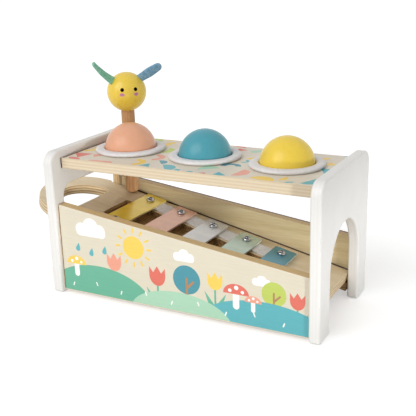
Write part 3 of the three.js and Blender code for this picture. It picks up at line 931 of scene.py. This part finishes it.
# Motifs from back to front, with their x from the panel's left end, height and size
MEADOW = [
    (sun(), 82, 58, 11),
    (cloud(), 36, 68, 19), (cloud(), 134, 57, 12), (cloud(), 208, 46, 10),
    (rain(), 20, 48, 1), (rain(), 35, 45, 1), (rain(), 50, 49, 1),
    (tulip("coral"), 106, 35, 16), (tulip("yellow"), 164, 40, 14), (tulip("coral"), 240, 35, 13),
    (round_tree("sea"), 136, 36, 22), (round_tree("lime"), 219, 37, 18),
    (hill(120, 30, "green"), 42, 0, 1), (hill(130, 25, "teal"), 212, 0, 1),
    (hill(104, 19, "mint"), 128, 0, 1),
    (toadstool("coral"), 184, 31, 17), (toadstool("rose"), 200, 26, 11),
    (toadstool("yellow"), 17, 32, 15),
    (tulip("rose"), 60, 41, 15),
    *((blade(70 + 40 * (i % 2)), 12 + 27 * i, 11 + 4 * (i % 2), 1) for i in range(BLADES)),
]


def meadow():
    """A generic meadow: sun and clouds over rolling hills, with a brown line of painted shade along the
    left end, where the panel meets the side panel.
    """
    left = front_low.x
    inside = inset(front_outline, PANEL_EDGE + PRINT_GAP)
    art = []
    for parts, x, y, size in MEADOW:
        place = Vector((left + x, y))
        art += inked(*(([place + Vector(point) * size for point in shape], ink) for shape, ink in parts))
    # Painted shade: a brown line along the left end, against the side panel.
    line_end = left + PANEL_EDGE + SHADE_LINE_WIDTH
    art += inked((rectangle(left, 0, line_end, front_high.z), "joint_shade"))
    return inked((inside, "cream")) + printable(art, inside)


front_mesh = plate(front_outline, PANEL_THICKNESS, PANEL_EDGE, art=meadow())
front_mesh.normal_update()
for face in front_mesh.faces:
    if face.material_index == 0 and face.normal.z > PRINTED_ROUND and face.normal.y > TOP_ROUND:
        face.material_index = INK_INDEX["cream"]
piece("front_panel_printed", front_mesh, [panel_ply, *inks.values()],
      "bench", "front_panel", frame_of(*UPRIGHT, (0, front_high.y, 0)))


def board_height(x):
    """Height of the sliding board's upper face."""
    return BOARD_LEFT_HEIGHT - (x - left_low.x) * tan(SLOPE)


def back_groove():
    """A groove along the sliding board in the inner face of the back panel, inked with painted shade for
    the dark gap above the board.
    """
    start, end = mallet_axis.x - GROOVE_LEAD, back_high.x - GROOVE_END
    corners = rectangle(start, -GROOVE_BELOW, end, GROOVE_ABOVE)
    return [Vector((x, board_height(x) + rise)) for x, rise in corners]


# The groove's walls and floor take the shade ink: painted shade.
back_mesh = plate(panel_outline(back_low, back_high, PLAIN_CORNER), PANEL_THICKNESS, PANEL_EDGE,
                  pocket=(back_groove(), GROOVE_DEPTH, 1))
piece("back_panel_bare", back_mesh, [back_ply, inks["shade"]],
      "bench", "back_panel", frame_of(*UPRIGHT, (0, back_high.y, 0)))
# The dowels get bare plywood. The runners get its darker copy, which is painted shade.
for name, obj in frame["nodes"].items():
    if "_dowel_" in name or name.endswith("_runner"):
        obj.data.materials.clear()
        obj.data.materials.append(bare_ply if "_dowel_" in name else runner_ply)


# Balls and their rings

BALL_PAINTS = {
    "left": ("ball_pink", srgb(230, 170, 136)),
    "middle": ("ball_teal", srgb(76, 157, 172)),
    "right": ("ball_yellow", srgb(240, 207, 74)),
}


def ring_profile():
    seat_top = RING_HEIGHT - RING_INNER_ROUND
    lip_top = BALL_LIFT - sqrt(RING_SEAT ** 2 - RING_LIP ** 2)
    bottom = lip_top - RING_LIP_HEIGHT
    under = arc((RING_FLANGE - RING_UNDER_ROUND, RING_RIM), (RING_UNDER_ROUND, RING_RIM - SEAM), -90, 0)
    over = arc((RING_FLANGE - RING_OUTER_ROUND, RING_RIM),
               (RING_OUTER_ROUND, RING_HEIGHT - RING_RIM), 0, 90, 12)
    inner = arc((RING_SEAT + RING_INNER_ROUND, seat_top), (RING_INNER_ROUND, RING_INNER_ROUND), 90, 180, 10)
    seat = []
    for k in range(1, RING_STEPS):
        height = seat_top + (lip_top - seat_top) * k / RING_STEPS
        seat.append((sqrt(RING_SEAT ** 2 - (height - BALL_LIFT) ** 2), height))
    collar = [(RING_COLLAR, bottom), (RING_COLLAR, SEAM)]
    return collar + under[:-1] + over + inner + seat + [(RING_LIP, lip_top), (RING_LIP, bottom)]


for name, place in ball_places.items():
    ring_place = Matrix.Translation((place.x, place.y, top_high.z))
    piece(f"ring_{name}", turned(ring_profile(), ROUND_SIDES, closed=True), [ring_rubber],
          "bench", f"ball_ring_{name}", ring_place)
    slot, colour = BALL_PAINTS[name]
    piece(f"painted_ball_{name}", ball(BALL_RADIUS), [gloss_paint(f"ball_paint_{name}", colour)],
          f"{name}_ball", f"ball_{name}", Matrix.Translation(place), weighted=False)


# Sliding xylophone

slope_place = Matrix.Translation((left_low.x, 0, BOARD_LEFT_HEIGHT)) @ Matrix.Rotation(SLOPE, 4, "Y")


def on_slope(x, y, z):
    return slope_place @ Matrix.Translation((x, y, z))


def sliding_board():
    outline = rounded([
        (LOOP_START, -BOARD_HALF, 0), (BOARD_END, -BOARD_HALF, BOARD_CORNER),
        (BOARD_END, BOARD_HALF, BOARD_CORNER), (LOOP_START, BOARD_HALF, 0),
    ])
    turn = degrees(acos((LOOP_START - LOOP_MIDDLE) / LOOP_RADII[0]))
    outline += [Vector(point) for point in arc((LOOP_MIDDLE, LOOP_SHIFT), LOOP_RADII, turn, 360 - turn, 48)]
    near, far = HOLE_SHIFT - HOLE_RADIUS, HOLE_SHIFT + HOLE_RADIUS
    hole = rounded([
        (HOLE_END, near, HOLE_RADIUS), (HOLE_SIDE, near, HOLE_CORNER),
        (HOLE_SIDE, far, HOLE_CORNER), (HOLE_END, far, HOLE_RADIUS),
    ])
    wide, narrow = POCKET_WIDE / 2, POCKET_NARROW / 2
    pocket = rounded([
        (POCKET_START, -wide - POCKET_FRONT, POCKET_CORNER), (POCKET_END, -narrow, POCKET_CORNER),
        (POCKET_END, narrow, POCKET_CORNER), (POCKET_START, wide, POCKET_CORNER),
    ])
    mesh = plate(outline, BOARD_THICKNESS, BOARD_EDGE, [hole], pocket=(pocket, POCKET_DEPTH, 1))
    piece("sliding_board", mesh, [bare_ply, pocket_floor], "xylophone", "xylophone_board",
          on_slope(0, 0, -BOARD_THICKNESS))


def felt_strip(end, side):
    start = FIRST_KEY - FELT_END
    stop = FIRST_KEY + KEY_PITCH * (len(KEY_COLOURS) - 1) + FELT_END
    near, far = [], []
    for x in (start, stop):
        share = (x - POCKET_START) / (POCKET_END - POCKET_START)
        inner = (POCKET_WIDE + (POCKET_NARROW - POCKET_WIDE) * share) / 2 + FELT_MARGIN
        if side < 0:
            inner += POCKET_FRONT * (1 - share)
        outer = KEY_HALF - FELT_INSET - (x - FIRST_KEY) / KEY_PITCH * FELT_STEP
        near.append((x, side * inner, FELT_CORNER))
        far.append((x, side * outer, FELT_CORNER))
    outline = anticlockwise(rounded(near + far[::-1]))
    piece(f"felt_{end}", plate(outline, FELT_THICKNESS, FELT_EDGE), [white_felt],
          "xylophone", f"{end}_felt", on_slope(0, 0, FELT_BASE))


sliding_board()
felt_strip("front", -1)
felt_strip("back", 1)

CROSS_LENGTH = 5
CROSS_WIDTH = 1.2
CROSS_DEPTH = 1.6
SHARP_ANGLE = radians(40)
SCREW_TURNS = (12, 70, 35, 58, 5, 80, 22, 47, 64, 30)


def box_mesh(x, y, z):
    mesh = bmesh.new()
    bmesh.ops.create_cube(mesh, size=1)
    bmesh.ops.scale(mesh, vec=(x, y, z), verts=mesh.verts)
    return mesh


def screw_data():
    """A round-headed screw with a cross cut in its head."""
    shank = [(0, -SCREW_LENGTH), (SCREW_RADIUS, SCREW_TIP - SCREW_LENGTH), (SCREW_RADIUS, 0)]
    dome = arc((0, SCREW_RIM), (SCREW_HEAD_RADIUS, SCREW_HEAD_HEIGHT - SCREW_RIM), 0, 90, 12)
    bevel = [(SCREW_HEAD_RADIUS - SCREW_BEVEL, 0), (SCREW_HEAD_RADIUS, SCREW_BEVEL)]
    profile = shank + bevel + dome[:-1] + [(0, SCREW_HEAD_HEIGHT)]
    objects = []
    arms = [(CROSS_LENGTH, CROSS_WIDTH), (CROSS_WIDTH, CROSS_LENGTH)]
    meshes = [turned(profile, 48), *(box_mesh(x, y, 2 * CROSS_DEPTH) for x, y in arms)]
    for i, mesh in enumerate(meshes):
        obj = new_object(f"screw_stage_{i}", mesh_data(f"screw_stage_{i}", mesh))
        obj.location.z = SCREW_HEAD_HEIGHT if i else 0
        objects.append(obj)
    for cutter in objects[1:]:
        cut = objects[0].modifiers.new("cross", "BOOLEAN")
        cut.operation, cut.solver, cut.object = "DIFFERENCE", "EXACT", cutter
    bpy.context.view_layer.update()
    ready = objects[0].evaluated_get(bpy.context.evaluated_depsgraph_get())
    data = bpy.data.meshes.new_from_object(ready)
    for obj in objects:
        bpy.data.objects.remove(obj)
    data.transform(Matrix.Scale(MM, 4))
    data.materials.clear()
    data.materials.append(steel)
    data.shade_smooth()
    data.set_sharp_from_angle(angle=SHARP_ANGLE)
    return data


screw = screw_data()
for i, (name, colour) in enumerate(KEY_COLOURS.items()):
    along = FIRST_KEY + KEY_PITCH * i
    side, half = KEY_WIDTH / 2, KEY_HALF - KEY_SHORTENING * i
    bar = rounded([(*corner, KEY_CORNER) for corner in rectangle(-side, -half, side, half)])
    paint = key_paint(f"key_paint_{name}", srgb(*colour))
    piece(f"bar_{name}", plate(bar, KEY_THICKNESS, KEY_EDGE), [paint],
          "xylophone", f"key_{name}", on_slope(along, 0, KEY_BASE))
    ends = {"front": FRONT_SCREW_STEP * i - FRONT_SCREW, "back": BACK_SCREW - BACK_SCREW_STEP * i}
    for k, (end, y) in enumerate(ends.items()):
        turn = Matrix.Rotation(radians(SCREW_TURNS[2 * i + k]), 4, "Z")
        settle(f"screw_{name}_{end}", screw, "xylophone", f"key_screw_{name}_{end}",
               on_slope(along, y, SCREW_BASE) @ turn, weighted=False)


# Mallet

HEAD_RADIUS = (head_high.x - head_low.x) / 2
head_middle = Vector((mallet_axis.x, mallet_axis.y, head_high.z - HEAD_RADIUS))
mallet_place = Matrix.Translation(head_middle) @ Matrix.Rotation(MALLET_TURN, 4, "Z")


def painted_face(name):
    """Yellow paint over fine wood grain, with two eyes and two cheeks painted on."""
    material, tree = new_material(name, Coat_Roughness=0.23, Specular_IOR_Level=0)
    rings = ranged(tree, noise(tree, 0.3, 6, 0.65, 1.4, (1, 1, 0.35)), 0.35, 0.68)
    colour = mixed(tree, rings, srgb(246, 214, 82), srgb(237, 201, 70))
    black, mauve = srgb(5, 4, 5), srgb(204, 134, 170)
    spots = []
    for side in (-1, 1):
        spots.append((FACE_TURN + side * EYE_TURN, EYE_RISE, EYE_RADII, black))
        spots.append((FACE_TURN + side * CHEEK_TURN, CHEEK_RISE, CHEEK_RADII, mauve))
    shine = 0.8
    for turn, rise, (across, high), ink in spots:
        middle = toward(turn, rise) * HEAD_RADIUS * MM
        offset = node(tree, "ShaderNodeVectorMath", {0: local(tree), 1: middle}, operation="SUBTRACT")
        shares = [1 / (radius * MM) for radius in (across, across, high)]
        scaled = node(tree, "ShaderNodeVectorMath", {0: offset.outputs[0], 1: shares}, operation="MULTIPLY")
        away = node(tree, "ShaderNodeVectorMath", {0: scaled.outputs[0]}, operation="LENGTH")
        spot = ranged(tree, away.outputs["Value"], 0.9, 1.1, 1, 0)
        colour = mixed(tree, spot, colour, ink)
        shine = math_node(tree, "SUBTRACT", shine, spot, True)
    tree.links.new(shine, sockets(material)["Coat Weight"])
    return surface(material, colour, ranged(tree, rings, 0, 1, 0.34, 0.46), rings, 0.1, 0.05)


def handle_profile():
    flat = HANDLE_RADIUS - HANDLE_ROUND
    foot = board_height(mallet_axis.x - flat) + HANDLE_SEAT - head_middle.z
    curve = arc((flat, foot + HANDLE_ROUND), (HANDLE_ROUND, HANDLE_ROUND), -90, 0)
    top = handle_high.z - head_middle.z
    return [(0, foot), *curve, (HANDLE_RADIUS, top), (0, top)]


piece("stick", turned(handle_profile(), 64), [stick_wood("stick_wood")],
      "mallet", "mallet_handle", mallet_place)
piece("face_ball", ball(HEAD_RADIUS), [painted_face("painted_face")],
      "mallet", "mallet_head", mallet_place, weighted=False)

EAR_SUNK = 1.5
EAR_TIP = 0.1
EAR_SECTIONS = 28
EAR_CROWDING = 1.6
EAR_SIDES = 24
EAR_FULLNESS = (0.7, 0.6)


def swollen(value, power):
    """A cosine or sine, raised so that the strap's section is fuller than an ellipse."""
    return copysign(abs(value) ** power, value)


def ear(length, root, lean, droop, twist, widths):
    """A felt strap on the head, twisted about its length, with a round tip. Angles in degrees."""
    mesh = bmesh.new()
    rings = []
    rise = radians(root)
    start = Vector((cos(rise), 0, sin(rise))) * (HEAD_RADIUS - EAR_SUNK)
    length += EAR_SUNK
    tip = widths[2] / 2
    for k in range(EAR_SECTIONS + 1):
        share = 1 - (1 - k / EAR_SECTIONS) ** EAR_CROWDING
        along = length * share
        low, high = widths[:2] if share < 0.5 else widths[1:]
        part = (share % 0.5) * 2 if share < 1 else 1
        width = low + (high - low) * (part * part * (3 - 2 * part))
        past = max(0, along - (length - tip))
        width *= sqrt(max(0, 1 - (past / tip) ** 2))
        width = max(width, EAR_TIP)
        angle = radians(twist[0] + (twist[1] - twist[0]) * share)
        bend = radians(lean + droop * share)
        centre = start + Vector((cos(bend), 0, sin(bend))) * along
        lift = Matrix.Rotation(-bend, 3, "Y")
        across = lift @ Vector((0, -sin(angle), cos(angle))) * (width / 2)
        flat = lift @ Vector((0, cos(angle), sin(angle))) * (min(EAR_THICKNESS, width) / 2)
        ring = []
        for point in arc((0, 0), (1, 1), 0, 360, EAR_SIDES)[:-1]:
            one, two = map(swollen, point, EAR_FULLNESS)
            ring.append(mesh.verts.new(centre + across * one + flat * two))
        rings.append(ring)
    walls(mesh, rings)
    mesh.faces.new(rings[0][::-1])
    mesh.faces.new(rings[-1])
    bmesh.ops.recalc_face_normals(mesh, faces=mesh.faces)
    return mesh


def felt_ear(side, turn, slot, colour, light, **sizes):
    place = mallet_place @ Matrix.Rotation(radians(turn), 4, "Z")
    piece(f"felt_ear_{side}", ear(**sizes), [felt(f"ear_felt_{side}", colour, light)],
          "mallet", f"mallet_ear_{side}", place, weighted=False)


felt_ear("left", 210, "ear_green", srgb(118, 190, 158), srgb(158, 214, 188),
         length=28, root=40, lean=33.5, droop=9.5, twist=(15, 45), widths=(8.4, 7, 4.8))
felt_ear("right", -12, "ear_blue", srgb(102, 148, 176), srgb(140, 178, 202),
         length=25, root=44, lean=30.5, droop=0, twist=(10, 14), widths=(7.8, 9.4, 7.4))


# Camera, light and floor


def photo_camera():
    camera = new_object("photo_camera", bpy.data.cameras.new("photo_camera"))
    camera.data.sensor_width = SENSOR_WIDTH
    camera.data.lens = CAMERA_LENS
    camera.data.clip_start = CAMERA_NEAR * MM
    back = toward(CAMERA_AZIMUTH, CAMERA_ELEVATION)
    right = (-back).cross(Vector((0, 0, 1))).normalized()
    up = right.cross(-back)
    place = frame_of(right, up, back, (CAMERA_TARGET + back * CAMERA_DISTANCE) * MM)
    camera.matrix_world = place @ Matrix.Rotation(CAMERA_ROLL, 4, "Z")
    bpy.context.scene.camera = camera


def placed_light(name, lamp, away, place):
    """A lamp at a place in metres, shining against the direction away."""
    obj = new_object(name, lamp)
    obj.matrix_world = Matrix.Translation(place) @ away.to_track_quat("Z", "Y").to_matrix().to_4x4()
    return obj


def soft_light(name, azimuth, elevation, width, strength):
    """A far, wide light, all angles in degrees."""
    lamp = bpy.data.lights.new(name, "SUN")
    lamp.angle = radians(width)
    lamp.energy = strength
    away = toward(azimuth, elevation)
    placed_light(name, lamp, away, away)


def low_light(name, azimuth, distance, height, size, spread, power):
    """A wide lamp near the floor, below the top board, turned to the bench. Lengths in metres."""
    lamp = bpy.data.lights.new(name, "AREA")
    lamp.shape = "RECTANGLE"
    lamp.size, lamp.size_y = size
    lamp.spread = radians(spread)
    lamp.energy = power
    away = toward(azimuth)
    obj = placed_light(name, lamp, away, away * distance + Vector((0, 0, height)))
    obj.visible_glossy = False


def seen_directly(tree):
    """1 for rays that show the backdrop itself: from the camera, in a reflection or through glass."""
    path = node(tree, "ShaderNodeLightPath")
    seen = math_node(tree, "ADD", path.outputs["Is Camera Ray"], path.outputs["Is Glossy Ray"])
    return math_node(tree, "ADD", seen, path.outputs["Is Transmission Ray"], True)


FLOOR_SIZE = 12
FLOOR_GREY = 0.8
FLOOR_GLOW = 0.46
WORLD_LIGHT = 0.53


def pale_floor():
    bpy.ops.mesh.primitive_plane_add(size=FLOOR_SIZE)
    floor = bpy.context.object
    floor.name = "floor"
    material = bpy.data.materials.new("pale_floor")
    material.use_nodes = True
    tree = material.node_tree
    tree.nodes.clear()
    matt = node(tree, "ShaderNodeBsdfDiffuse", {"Color": (FLOOR_GREY, FLOOR_GREY, FLOOR_GREY, 1)})
    strength = times(tree, seen_directly(tree), FLOOR_GLOW)
    glow = node(tree, "ShaderNodeEmission", {"Strength": strength})
    both = node(tree, "ShaderNodeAddShader", {0: matt.outputs[0], 1: glow.outputs[0]})
    node(tree, "ShaderNodeOutputMaterial", {"Surface": both.outputs[0]})
    floor.data.materials.append(material)


def white_world():
    world = bpy.data.worlds.new("studio")
    bpy.context.scene.world = world
    world.use_nodes = True
    tree = world.node_tree
    shine = tree.nodes["Background"]
    strength = ranged(tree, seen_directly(tree), 0, 1, WORLD_LIGHT, 1)
    tree.links.new(strength, shine.inputs["Strength"])
    shine.inputs["Color"].default_value = (1, 1, 1, 1)


photo_camera()
pale_floor()
white_world()
soft_light("key_light", azimuth=-22, elevation=35, width=46, strength=1.4)
low_light("low_light", azimuth=58, distance=1.5, height=0.066, size=(1, 0.09), spread=10, power=0.235)
bpy.context.scene.view_settings.view_transform = "Standard"
